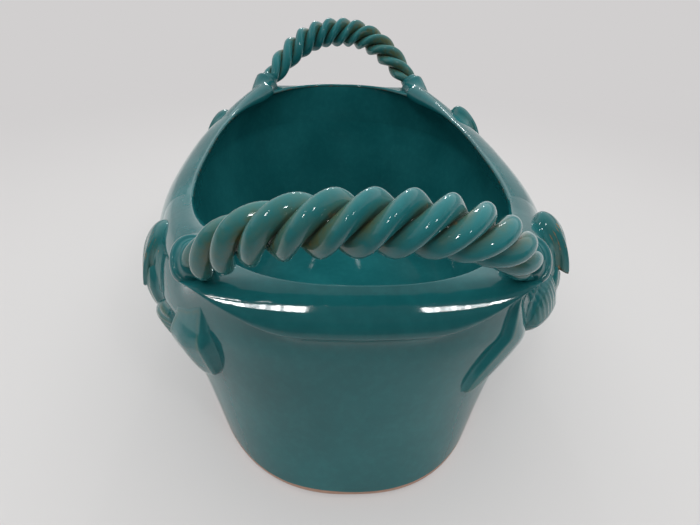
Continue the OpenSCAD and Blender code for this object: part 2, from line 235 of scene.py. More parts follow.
def read_sizes(scene):
    """Every size of the property groups, lengths in millimetres, and what follows from them: where a
    rope ends (root_x, root_z), where the rounding under the wall stops (foot_z), the lip's corner in
    plan and as an angle, the rope's tail as a part of its arch, the distances along the belly, and
    the length of the shoulder's slope."""
    s = SimpleNamespace()
    for group in (scene.planter_bowl, scene.planter_rope, scene.planter_leaves):
        for name in type(group).__annotations__:
            scale = 1 / MM if group.bl_rna.properties[name].subtype == "DISTANCE" else 1
            setattr(s, name, getattr(group, name) * scale)
    s.root_x = s.opening_half_l - s.inset
    s.root_z = s.rim_h + s.lift
    s.foot_z = s.foot_h + BASE_ROUND
    s.lip_corner = np.array([s.root_x, s.half_span + s.cup_w + CORNER_MARGIN])
    corner = s.half_span * CORNER_SHARE / s.opening_half_w
    s.corner_t = math.degrees(math.asin(corner ** (1 / PLAN_POWER)))
    s.tail_u = s.tail / math.hypot(s.arch_power * s.lean, s.arch_power * s.rise, s.half_span)
    girth = oval(GIRTH_T, s.belly_half_l, s.belly_half_w)
    s.girth_run = np.concatenate([[0], np.cumsum(np.linalg.norm(np.diff(girth, axis=0), axis=1))])
    s.shoulder_run = math.hypot(s.belly_half_w - s.opening_half_w, s.rim_h - s.rim_dip - s.belly_h)
    return s


def at_right(t):
    """1 on the right side and 0 on the left."""
    return (np.sin(np.radians(t)) > 0) * 1


def half_widths(s, t):
    """Half widths of base and belly; the hand-formed right side bulges a little more than the left."""
    return s.base_half_w - s.right_tuck * at_right(t), s.belly_half_w + s.right_bulge * at_right(t)


def beside(s, y):
    """The sizes for a piece that is drawn at the right and put in place by the sign y. A left piece
    gets the left wall's half widths, but keeps the right wall's rounding half way up."""
    return s if y > 0 else SimpleNamespace(**{**vars(s), "right_bulge": 0, "right_tuck": 0})


def wall_point(s, t, z, inset=0.0):
    """The wall at height z: the half width swells in a quarter sine up to the belly, and the plan's
    corners are rounder half way up than at the base and the belly."""
    up = np.clip(z / s.belly_h, 0, 1)
    base, belly = half_widths(s, t)
    a = mix(s.base_half_l, s.belly_half_l, up) - inset
    b = mix(base, belly, np.sin(up * math.pi / 2)) - inset
    power = PLAN_POWER + (ROUNDER + ROUNDER_RIGHT * at_right(t)) * np.sin(up * math.pi)
    return solid(oval(t, a, b, power), z)


def crest(s, t):
    """Height of the rim crest: it dips with the square of the distance from the ends."""
    return s.rim_h - s.rim_dip * (1 - oval(t, 1, 1)[..., 0] ** 2)


def from_end(t):
    """Angle from the nearer end, 0 to 90 degrees."""
    w = np.mod(t, 180)
    return np.minimum(w, 180 - w)


def lip_share(s, t):
    """1 over the lip, easing to 0 past its corner."""
    return 1 - ease((from_end(t) - s.corner_t) / LIP_BLEND)


def lip_edge(s, t):
    """The lip's outer edge in plan: an arc over the end, then a parallel of the opening."""
    f = from_end(t)
    turn = np.radians(90 * np.minimum(1, f / s.corner_t))
    middle = np.clip(np.cos(turn), 0, 1) ** LIP_POWER
    arc = np.stack([mix(s.lip_corner[0], s.opening_half_l + s.lip_w, middle),
                    s.lip_corner[1] * np.sin(turn)], -1)
    past = oval(f, s.opening_half_l, s.opening_half_w) \
        - oval(np.array(s.corner_t), s.opening_half_l, s.opening_half_w)
    side = s.lip_corner + past
    p = np.where((f <= s.corner_t)[..., None], arc, side)
    c, d = np.cos(np.radians(t)), np.sin(np.radians(t))
    return p * np.stack([np.where(c < 0, -1, 1), np.where(d < 0, -1, 1)], -1)


def rim_point(s, t, r):
    """From the belly (r 0) over the shoulder or the rolled lip to the crest (r 8)."""
    t, r = np.broadcast_arrays(np.asarray(t, float), np.asarray(r, float))
    inner = oval(t, s.opening_half_l, s.opening_half_w)
    belly = oval(t, s.belly_half_l, half_widths(s, t)[1])
    e = lip_share(s, t)[..., None]
    side = mix(inner, belly, curve(SHOULDER_IN, r)[..., None])
    start = np.where((r < LIP_EDGE)[..., None], belly, inner)
    lip = mix(start, lip_edge(s, t), curve(LIP_OUT, r)[..., None])
    top = crest(s, t)
    reach = np.minimum(1, from_end(t) / s.corner_t)
    hang = mix(s.lip_drop, s.lip_corner_drop, ease((reach - HANG_FROM) / HANG_OVER))
    z_side = mix(s.belly_h, top, curve(SHOULDER_UP, r))
    z_lip = mix(mix(s.belly_h, top - hang, curve(LIP_LOW, r)), top, curve(LIP_HIGH, r))
    return solid(mix(side, lip, e), mix(z_side, z_lip, e[..., 0]))


def inside_point(s, t, r):
    """Inside the rim: a quarter round from the crest (r 0) to the inner edge (r 1), then the
    shoulder's own curve, pulled in by the wall and a hundredth a step, down to the belly (r 9)."""
    t, r = np.broadcast_arrays(np.asarray(t, float), np.asarray(r, float))
    inner = oval(t, s.opening_half_l, s.opening_half_w)
    belly = oval(t, s.belly_half_l - s.wall, half_widths(s, t)[1] - s.wall)
    top = crest(s, t)
    turn = np.clip(r, 0, 1) * math.pi / 2
    edge = mix(inner, rim_point(s, t, 8.0)[..., :2], (1 - np.sin(turn))[..., None])
    down = np.clip(9 - r, 0, 8)
    face = mix(inner, belly, (curve(SHOULDER_IN, down) - 0.01 * down)[..., None])
    face_z = mix(s.belly_h, top - RIM_ROUND, np.clip(curve(SHOULDER_UP, down), 0, 1) ** 1.6)
    first = r <= 1
    return solid(np.where(first[..., None], edge, face),
                 np.where(first, top - RIM_ROUND * (1 - np.cos(turn)), face_z))


def skin(s, t, q):
    """The whole surface, from the foot at q 0 over BELLY and CREST to INNER_BELLY."""
    t, q = np.broadcast_arrays(np.asarray(t, float), np.asarray(q, float))
    low = wall_point(s, t, mix(s.foot_z, s.belly_h, np.clip(q, 0, BELLY) / BELLY))
    high = rim_point(s, t, np.clip(q - BELLY, 0, CREST - BELLY))
    inside = inside_point(s, t, np.clip(q - CREST, 0, INNER_BELLY - CREST))
    return np.where((q <= BELLY)[..., None], low, np.where((q <= CREST)[..., None], high, inside))


def above_skin(s, t, q, off):
    """The skin moved off along its own normal, which is taken over a degree and 0.8 of a step."""
    along = skin(s, t + 0.5, q) - skin(s, t - 0.5, q)
    up = skin(s, t, q + 0.4) - skin(s, t, q - 0.4)
    return skin(s, t, q) + unit(np.cross(along, up)) * np.asarray(off)[..., None]


def mound(s, t, q, along, height):
    """The wall's swelling under a cluster: a bell curve along the belly and up the wall, which fades
    out under the lip."""
    peak = bell(along, s.bud_along - MOUND_BACK, MOUND_WIDE)
    peak = peak * bell(height, s.belly_h - MOUND_DOWN, MOUND_HIGH)
    return s.mound * peak * (1 - lip_share(s, t) * ease((q - BELLY + 1) / 2))


def swollen(s, t, q):
    """The outside with the swellings under its four clusters."""
    along = np.interp(from_end(t), GIRTH_T, s.girth_run) - s.rear_shift * (np.cos(np.radians(t)) < 0)
    height = np.where(q <= BELLY, mix(s.foot_z, s.belly_h, q / BELLY),
                      s.belly_h + (q - BELLY) / (CREST - BELLY) * s.shoulder_run)
    return above_skin(s, t, q, mound(s, t, q, along, height))


def on_wall(s, along, height, off, shift):
    """A place given by distance along the belly, height and distance off the swollen wall."""
    t = np.interp(along + shift, s.girth_run, GIRTH_T)
    q = np.where(height <= s.belly_h, BELLY * (height - s.foot_z) / (s.belly_h - s.foot_z),
                 BELLY + (CREST - BELLY) * (height - s.belly_h) / s.shoulder_run)
    return above_skin(s, t, q, off + mound(s, t, q, along, height))


def bowl_grid(s, around=360):
    """Rings from under the base, up the outside, over the rim and down the inside to the floor. The
    clay shows under the base, and the glaze is worn at the lip's edge and at the inner edge."""
    t = np.arange(around) * 360 / around
    rows, clay, worn, deep = [], [], [], []

    def add(points, bare=0.0, edge=0.0, line=0.0):
        points = points if points.ndim == 3 else points[None]
        rows.append(points)
        for marks, value in ((clay, bare), (worn, edge), (deep, line)):
            marks.append(np.broadcast_to(value, (len(points),)).astype(float))

    def steps(start, end, count):
        return np.linspace(start, end, count)[1:, None]

    add(np.tile([0, 0, s.foot_h], (around, 1)).astype(float), 1)
    turn = np.linspace(0, math.pi / 2, RINGS.under)[:, None]
    under = wall_point(s, t[None], np.full((RINGS.under, 1), s.foot_z), BASE_ROUND * (1 - np.sin(turn)))
    under[..., 2] = s.foot_h + BASE_ROUND * (1 - np.cos(turn))
    add(under, 0.85)
    add(swollen(s, t[None], steps(0, BELLY, RINGS.wall)))
    r = steps(0, CREST - BELLY, RINGS.rim)
    add(swollen(s, t[None], BELLY + r), 0, 0.35 * bell(r[:, 0], LIP_EDGE, 0.3))
    r = np.concatenate([steps(0, 1, RINGS.edge), steps(1, INNER_BELLY - CREST, RINGS.inside)])
    # The dark line along the inner edge is painted shade where the rim turns down into the dark inside;
    # the worn spots beside it are broken glaze
    add(inside_point(s, t[None], r), 0, 0.8 * bell(r[:, 0], 0.9, 0.5), 0.8 * bell(r[:, 0], 0.95, 0.22))
    floor_z = s.foot_h + s.floor_t
    add(wall_point(s, t[None], steps(s.belly_h, floor_z + s.floor_fillet, RINGS.low), s.wall))
    turn = steps(0, math.pi / 2, RINGS.fillet)
    bottom = wall_point(s, t[None], floor_z + s.floor_fillet * (1 - np.sin(turn)),
                        s.wall + s.floor_fillet * (1 - np.cos(turn)))
    add(bottom)
    add(solid(bottom[-1:, :, :2] * steps(1, 0, RINGS.floor)[..., None], floor_z))
    return np.concatenate(rows), {name: np.concatenate(marks)[:, None] * np.ones(around) for name, marks
                                  in (("clay", clay), ("worn", worn), ("deep", deep))}


# The foot's profile: share of its outline, and height above the ground or its top
FOOT_LOW = ((0, 0), (.5, 0), (.93, .0), (.993, .2), (1, .8))
FOOT_TOP = (1, .5, 0)
FOOT_LAP = 0.3


def foot_grid(s, around=360):
    """The dry foot: an oval plate with a rounded lower edge that laps into the bowl's base."""
    t = np.arange(around) * 360 / around
    inset = BASE_ROUND + s.foot_inset
    outline = oval(t, s.base_half_l - inset, half_widths(s, t)[0] - inset)
    profile = (*FOOT_LOW, *((share, s.foot_h + FOOT_LAP) for share in FOOT_TOP))
    return np.stack([solid(outline * share, z) for share, z in profile])


# Ropes, with lengths as shares of the rope's radius: how far out a strand lies, how thick it is, and
# how much deeper its grooves are pressed
STRANDS, STRAND_OUT, STRAND_R, PRESSED = 3, 0.52, 0.50, 0.10
# Where the first strand starts, and how far the winding keeps to the rope's length and not its arch
FIRST_STRAND, EVEN = math.radians(60), 0.2
# What the hand leaves uneven: size, waves along the rope, shift from strand to strand, and start
HAND_WAVES = ((0.02, 3.1, 0.37, 0.0), (0.012, 11.3, 0.61, 0.2))


def arch(s, u):
    """The rope's centre line: a flattened arch, 1 - |u|^power high, in a plane that leans out, for u
    from -1 to 1, and straight on past its ends."""
    over = np.maximum(np.abs(u) - 1, 0)
    a = 1 - np.minimum(np.abs(u), 1) ** s.arch_power - s.arch_power * over
    return np.stack([s.root_x + s.lean * a, s.half_span * u, s.root_z + s.rise * a], -1)


def arch_dir(s, u):
    """Direction of the centre line."""
    return unit(arch(s, u + 0.01) - arch(s, u - 0.01))


def rope_radius(s, u, thick):
    """Radius of the whole rope: an ellipse's rise from the ends to the top."""
    return mix(s.rope_end_r, s.rope_r * thick, np.sqrt(np.clip(1 - u * u, 0, 1)))


def rope_grid(s, turns, thick, per_strand=28, rings=300):
    """Three touching round strands wound on the arch, more slowly where it runs down into its ends.
    At angle w from a strand's crest the radius is d cos w + sqrt(p^2 - d^2 sin^2 w), with d the
    STRAND_OUT and p the STRAND_R. The columns follow the winding, so every groove is one column."""
    steps = np.linspace(-1 - s.tail_u, 1 + s.tail_u, 401)
    run = np.concatenate([[0], np.cumsum(np.linalg.norm(np.diff(arch(s, steps), axis=0), axis=1))])
    share = np.linspace(0, 1, rings)
    u = np.interp(share * run[-1], run, steps)
    centre, along = arch(s, u), arch_dir(s, u)
    out = np.broadcast_to(unit(np.array([s.rise, 0, -s.lean])), along.shape)
    side = np.cross(along, out)
    w = (np.arange(STRANDS * per_strand) + 0.5) / per_strand
    near = (w % 1 - 0.5) * TURN / STRANDS
    strand = np.floor(w).astype(int)
    wound = mix((u + 1) / 2, share, EVEN)
    turn = FIRST_STRAND + TURN * turns * wound[:, None] + (w - 0.5)[None] * TURN / STRANDS
    round_part = np.clip(STRAND_R ** 2 - (STRAND_OUT * np.sin(near)) ** 2, 0.002, 1)
    lobe = STRAND_OUT * np.cos(near) + np.sqrt(round_part)
    lobe = np.where(np.abs(near) > 1.0, lobe - PRESSED * ease((np.abs(near) - 0.8) / 0.25), lobe)
    wave = 1 + sum(size * np.sin(TURN * (share[:, None] * count + strand[None] * step + start))
                   for size, count, step, start in HAND_WAVES)
    radius = rope_radius(s, u, thick)[:, None] * lobe[None] * wave
    points = centre[:, None] + radius[..., None] * (side[:, None] * np.cos(turn)[..., None]
                                                    + out[:, None] * np.sin(turn)[..., None])
    ends = np.broadcast_to(centre[[0, -1], None], (2, *points.shape[1:]))
    points = np.concatenate([ends[:1], points, ends[1:]])
    # The wash fills the grooves, runs over one flank in patches, and is stronger where the rope starts
    groove = np.broadcast_to(ease((np.abs(near) - 0.45) / 0.6), turn.shape)
    flank = np.broadcast_to(ease((near - 0.1) / 0.6), turn.shape)
    patch = 0.5 + 0.5 * np.sin(TURN * (share[:, None] * 5.3 + strand[None] * 0.43))
    olive = ease(0.35 - 0.9 * u)[:, None]
    wash = np.clip(0.55 * groove + 0.45 * flank * patch + olive * (0.45 + 0.35 * flank), 0, 1)
    # The deepest mark, where two strands meet, is the pooled wash with painted shade over it in that
    # crease
    deep = np.broadcast_to(ease((np.abs(near) - 0.84) / 0.2), turn.shape)
    marks = {"wash": wash, "worn": groove * 0.5, "deep": deep}
    return points, {name: np.concatenate([m[:1], m, m[-1:]]) for name, m in marks.items()}


# The strap along the rim, at six stations: angle, lower and upper place on the skin, and thickness
ROOT_T = np.array([39, 44, 49, 55, 62, 71.])
ROOT_LOW = np.array([7.3, 7.0, 6.8, 6.8, 7.2, 8.2])
ROOT_HIGH = np.array([12.9, 13.3, 13.5, 13.4, 13.2, 12.6])
ROOT_RISE = np.array([12, 9.6, 7.2, 4.6, 1.9, -0.6])
# The strap's edges lie so far in the skin, and its end closes at this angle, place and depth
STRAP_SINK, STRAP_END = 0.7, (71.5, 10.2, -0.6)
# The cup round the rope's end: places along the rope, and its width there as a share of the brim's
CUP_STEP = np.array([-7.5, -7.5, -6.6, -4.6, -2.4, -1.0, -0.8, -0.9, -0.4, 0.9, 2.4])
CUP_SHARE = np.array([0.0, .68, .80, .84, .89, .96, 1.0, 1.05, 1.09, 1.13, 1.15])
# The brim's front is this share of its width high, and the back leaves it along the rope so far
CUP_FRONT, BEND_LEAD = 0.75, 8


def root_grid(s, around=72):
    """The handle's root: a sleeve round the rope's end that flares into a brim, whose front runs out
    into the lip's edge. Its back bends on a quadratic curve down onto the rim, widens into a strap
    that reaches over the crest, and thins out to nothing."""
    w = -np.arange(around) * TURN / around
    along = arch_dir(s, np.array(1.0))
    up = unit(np.array([0, 0, 1.]) - along * along[2])
    out = np.cross(along, up)
    high = np.where(np.sin(w) > 0, s.cup_h, s.cup_w * CUP_FRONT)
    ring = out * (s.cup_w * np.cos(w))[:, None] + up * (high * np.sin(w))[:, None]
    centre = arch(s, np.array(1.0)) + along * (s.tail - 1)
    rows = [centre + along * step + ring * share for step, share in zip(CUP_STEP, CUP_SHARE)]
    top = np.maximum(0, np.sin(w))

    def strap(j):
        at = [curve(table, np.array(j)) for table in (ROOT_T, ROOT_LOW, ROOT_HIGH, ROOT_RISE)]
        q = mix(at[1], at[2], 0.5 - 0.5 * np.cos(w))
        return above_skin(s, np.full(around, at[0]), q, -STRAP_SINK + (0.8 + at[3]) * top ** 0.8)
    start, end = rows[-1], strap(0.0)
    pull = mix((start + end) / 2, start + along * BEND_LEAD, top[:, None])
    for v in np.linspace(0, 1, 13)[1:]:
        rows.append(start * (1 - v) ** 2 + pull * 2 * v * (1 - v) + end * v * v)
    for j in np.linspace(0, 5, 31)[1:]:
        rows.append(strap(float(j)))
    rows.append(np.tile(above_skin(s, *(np.array([value]) for value in STRAP_END)), (around, 1)))
    points = np.stack(rows)
    return points, {"wash": np.zeros(points.shape[:2])}


# The bud's half width, relief and distance down, as shares of the whole: at seven stations down its
# outside, and back up inside its mouth
BUD = (([0, .44, .62, .74, .84, .93, 1], [.98, .93, .84, .70, .42, 0]),
       ([.04, .40, .62, .74, .82, .90, 1], [.97, .90, .80, .66, .50, .3]),
       ([0, .04, .16, .34, .54, .77, 1], [1.04, 1.03, .99, .93, .88, .86]))
PETALS = 6
# How high a leaf's face starts above the wall, how deep the edges end in it, and its hidden backs
RAISED, SUNK, UNDER_BUD, UNDER_LEAF = 0.4, -0.4, -1.2, -1.4
# A leaf's spine keeps this share of its length off both ends
SPINE_FROM = 0.14
# Contours from a leaf's spine to its outline, and then out over its fillet
CONTOURS = np.array([*np.linspace(0, 0.8, 11), .86, .91, .95, .98, 1.0])[:, None]
FILLET = np.array([.08, .2, .36, .58, 1.0])[:, None]


def bud_grid(s, shift, lean, around=96):
    """The flower bud: half rings on the wall that widen downwards, fluted into petals, whose
    lower edge is scalloped and turns back up into a hollow mouth."""
    a = np.arange(around) * TURN / around
    front = np.clip(np.sin(a), 0, 1)
    petal = 0.5 + 0.5 * np.cos(a * PETALS)
    width, depth, fall = (np.concatenate([curve(out, np.linspace(0, 6, 25)), back])[:, None]
                          for out, back in BUD)
    flute = ease((fall - 0.15) / 0.8)
    fold = 1 - 0.26 * flute * (1 - petal) - 0.05 * flute * (1 - np.cos(a * 4 * PETALS)) / 2
    skirt = 1 + 0.45 * np.clip(1 - front / 0.45, 0, 1) ** 2
    along = s.bud_along + s.bud_half_w * width * np.cos(a) * fold * skirt - 3 * (1 - fall)
    off = (s.bud_proud + 0.19 * lean) * depth ** (1 - 0.03 * lean) * front ** 0.9 * fold
    off = np.where(np.sin(a)[None] < 0, UNDER_BUD, off + SUNK)
    scallop = 3.0 * ease((fall - 0.7) / 0.3) * (1 - petal) * front
    height = s.belly_h + 0.25 * lean + s.bud_h * (1 - fall) + scallop
    # The glaze breaks between the petals, in fine streaks on the side of the leaves, and at the edge
    valley = (1 - petal) ** 2 * front * flute
    streak = ease((np.cos(a * 26) - 0.3) / 0.5) * (np.cos(a) < -0.2) * front ** 0.3
    streak = streak * ease(5 * fall - 0.7) * ease(4 - 4.6 * fall)
    edge = 0.9 * ease((fall - 0.8) / 0.2) * front
    return on_wall(s, along, height, off, shift), {"wash": np.clip(0.25 + 0.9 * valley, 0, 1),
                                                   "worn": 0.7 * valley + streak + edge}


def relief_grid(s, shift, start, end, half_w, height, paint, edge=1.2, skirt_w=4.0, around=132):
    """A carved leaf on the wall: contours run from the spine (w 0) out to the outline (w 1), down a
    hollow fillet into the wall and back under the spine. half_w(u) is the outline, u along it,
    height(a, v, w) the relief and paint(a, v, w) its wash and wear, a along the leaf, v across it."""
    g = np.arange(around) / around
    u, side = (1 - np.cos(TURN * g)) / 2, np.sign(np.round(np.sin(TURN * g), 9))
    start, end = np.array(start, float), np.array(end, float)
    size = np.linalg.norm(end - start)
    down = (end - start) / size
    across = np.array([-down[1], down[0]])
    wide = half_w(u)
    outline = start + np.outer(u, end - start) + np.outer(wide * side, across)
    middle = start + np.outer(np.clip(u, SPINE_FROM, 1 - SPINE_FROM), end - start)
    flat = middle + (outline - middle) * CONTOURS[..., None]
    a = ((flat - start) @ down) / size
    v = ((flat - start) @ across) / np.max(wide)
    off = RAISED + edge * ease((1.08 - CONTOURS) / 0.12) + height(a, v, CONTOURS)
    tangent = np.roll(outline, -1, 0) - np.roll(outline, 1, 0)
    normal = unit(np.stack([-tangent[:, 1], tangent[:, 0]], -1))
    normal *= np.sign(np.sum(normal * (outline - middle), -1, keepdims=True) + 1e-9)
    hem = outline + normal * skirt_w * FILLET[..., None]
    hem_off = mix(off[-1:], SUNK, 1 - (1 - FILLET) ** 2.2)
    flat = np.concatenate([flat, hem, [outline, middle]])
    off = np.concatenate([off, hem_off, np.full((2, around), UNDER_LEAF)])
    bare = np.zeros((len(FILLET) + 2, around))
    marks = {name: np.concatenate([np.broadcast_to(mark, a.shape), bare])
             for name, mark in zip(("wash", "worn"), paint(a, v, CONTOURS))}
    return on_wall(s, flat[..., 0], flat[..., 1], off, shift), marks


def round_share(u, power):
    """How full a leaf is along its length: (1 - (2u - 1)^2) to half the power."""
    return np.clip(1 - (2 * u - 1) ** 2, 0, 1) ** (power / 2)


def smooth_leaf_grid(s, shift, lean):
    """A plain leaf with a raised border and a shallow hollow on each side of its middle vein."""
    along, top = s.bud_along, s.belly_h + 4

    def half_w(u):
        return s.smooth_half_w * round_share(mix(0.22, 1, u), 0.8)

    def height(a, v, w):
        full = round_share(mix(0.3, 1, np.clip(a, 0, 1)), 0.7)
        dome = s.smooth_proud * full * (1 - 0.62 * w * w) * (1 - 0.22 * bell(v, 0, 0.45))
        vein = bell(v, 0, 0.10) * np.clip(1 - a, 0, 1)
        border = 0.9 * bell(w, 0.84, 0.10) * full
        return dome + vein + border - 1.6 * ease(w)

    def paint(a, v, w):
        return 0.2 + 0.4 * bell(w, 0.70, 0.12), 0.3 * bell(w, 0.9, 0.08)
    return relief_grid(s, shift, (along - 2, top), (along - 12, top - s.smooth_l),
                       half_w, height, paint, skirt_w=7)


def veined_leaf_grid(s, shift, lean, ribs=10):
    """A leaf with a middle rib and slanting side ribs: the ribs are cosine ridges in
    (ribs a - 0.9 |v|), and the outline is scalloped in step with them."""
    along = s.bud_along - 1.2 * s.leaf_half_w
    top = s.belly_h - 4 + 0.2 * lean

    def ridge(a, v):
        return np.cos(TURN * (ribs * a - 0.9 * np.abs(v)))

    def half_w(u):
        full = round_share(mix(0.16, 1, u), 0.8)
        return (s.leaf_half_w - 0.38 * lean) * full * (1 - 0.02 * (1 + ridge(u, 1)))

    def height(a, v, w):
        full = round_share(mix(0.15, 1, np.clip(a, 0, 1)), 0.7) * ease(a / 0.35 + 0.2)
        dome = (s.leaf_proud - 0.07 * lean) * full * (1 - 0.55 * w ** 2)
        rib = (0.55 - 0.024 * lean) * full * ridge(a, v) * ease((np.abs(v) - 0.1) / 0.3)
        groove = full * (0.8 * bell(v, 0, 0.16) - 0.9 * bell(v, 0, 0.06))
        return dome + rib * ease(w / 0.3) + groove - w - 3 * (1 - ease(a / 0.2))

    def paint(a, v, w):
        on_rib, out = 0.5 + 0.5 * ridge(a, v), np.abs(v)
        return (np.clip(0.2 + (0.6 - 0.025 * lean) * on_rib * ease(out / 0.2), 0, 1),
                np.clip((0.55 - 0.02 * lean) * on_rib * ease((out - 0.5) / 0.3), 0, 1))
    return relief_grid(s, shift, (along, top), (along - 7 - 2 * lean, top - s.leaf_l + 2.3 * lean),
                       half_w, height, paint, skirt_w=5, around=264)


def long_leaf_grid(s, shift, lean):
    """A broad blade that runs up under the lip, with a raised border, a low ridge down the middle
    and a shallow hollow between them."""
    along = s.bud_along - 4.2 * s.blade_half_w + 3 - lean / 6
    top = s.belly_h + 4 + 0.22 * lean

    def half_w(u):
        return (s.blade_half_w - 0.22 * lean) * round_share(mix(0.22, 1, u), 0.9 + 0.03 * lean)

    def height(a, v, w):
        full = round_share(mix(0.25, 1, np.clip(a, 0, 1)), 0.45) * ease(a / 0.4 + 0.15)
        ridge, hollow, border = bell(v, 0, 0.24), bell(w, 0.55, 0.24), bell(w, 0.90, 0.09)
        dome = (s.blade_proud + 2 - 0.3 * lean) * full * (1 - 0.25 * w ** 4)
        carved = 0.86 + 0.03 * ridge - 0.05 * hollow + 0.09 * border
        return dome * carved - w ** 3 - (1.5 + 0.11 * lean) * (1 - ease(a / 0.25))

    def paint(a, v, w):
        wash = 0.15 + 0.35 * bell(w, 0.80, 0.08) + 0.4 * bell(v, 0, 0.2) * ease(a)
        return np.clip(wash, 0, 1), 0.25 * bell(w, 0.92, 0.05)
    return relief_grid(s, shift, (along, top), (along - 5 - 1.5 * lean, top - s.blade_l - 0.37 * lean),
                       half_w, height, paint, edge=1.4, skirt_w=3.0)


# Meshes

def shell(name, points, marks, material, place=(1, 1)):
    """A closed mesh over rings of points in millimetres, mirrored or turned by the signs in place.
    Rings that shrink to a point are merged there, and the faces are made to point outwards."""
    rows, cols = points.shape[:2]
    i, j = np.arange(rows - 1)[:, None] * cols, np.arange(cols)[None]
    a, b = i + j, i + (j + 1) % cols
    faces = np.stack([a, b, b + cols, a + cols], -1).reshape(-1, 4)
    co = points.reshape(-1, 3) * (np.array([*place, 1]) * MM)
    mesh = bpy.data.meshes.new(name)
    mesh.from_pydata(co.tolist(), [], faces.tolist())
    for mark, values in marks.items():
        mesh.attributes.new(mark, "FLOAT", "POINT").data.foreach_set(
            "value", np.ascontiguousarray(values, np.float32).ravel())
    bm = bmesh.new()
    bm.from_mesh(mesh)
    bmesh.ops.remove_doubles(bm, verts=bm.verts, dist=2e-6)
    bmesh.ops.dissolve_degenerate(bm, edges=bm.edges, dist=1e-7)
    bmesh.ops.recalc_face_normals(bm, faces=bm.faces)
    bm.to_mesh(mesh)
    bm.free()
    mesh.shade_smooth()
    mesh.materials.append(material)
    piece = bpy.data.objects.new(name, mesh)
    bpy.context.scene.collection.objects.link(piece)
    return piece


def seat(piece, slot_name, *nodes):
    """Puts a piece on the frame in place of its CAD nodes."""
    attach(piece, "root")
    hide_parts(*nodes)


# Materials

def node(tree, kind, inputs=None, **settings):
    """Adds a shader node with its settings; inputs are values or other nodes' sockets."""
    n = tree.nodes.new("ShaderNode" + kind)
    for name, value in settings.items():
        setattr(n, name, value)
    for name, value in (inputs or {}).items():
        if isinstance(value, bpy.types.NodeSocket):
            tree.links.new(value, n.inputs[name])
        else:
            n.inputs[name].default_value = value
    return n


def new_material(name):
    """An empty node material with its output node."""
    material = bpy.data.materials.get(name) or bpy.data.materials.new(name)
    material.use_nodes = True
    material.node_tree.nodes.clear()
    return material, material.node_tree, node(material.node_tree, "OutputMaterial")


def rgba(value):
    """A property's colour with full cover."""
    return (*value, 1.0)


# How strong a glaze's oxide wash is, how thin it lies, and which colour shows where it breaks
GLAZES = {"teal_glaze": (0.6, 0.0, "worn"), "washed_rope_glaze": (0.85, 0.42, "speck"),
          "washed_leaf_glaze": (0.7, 0.2, "speck")}


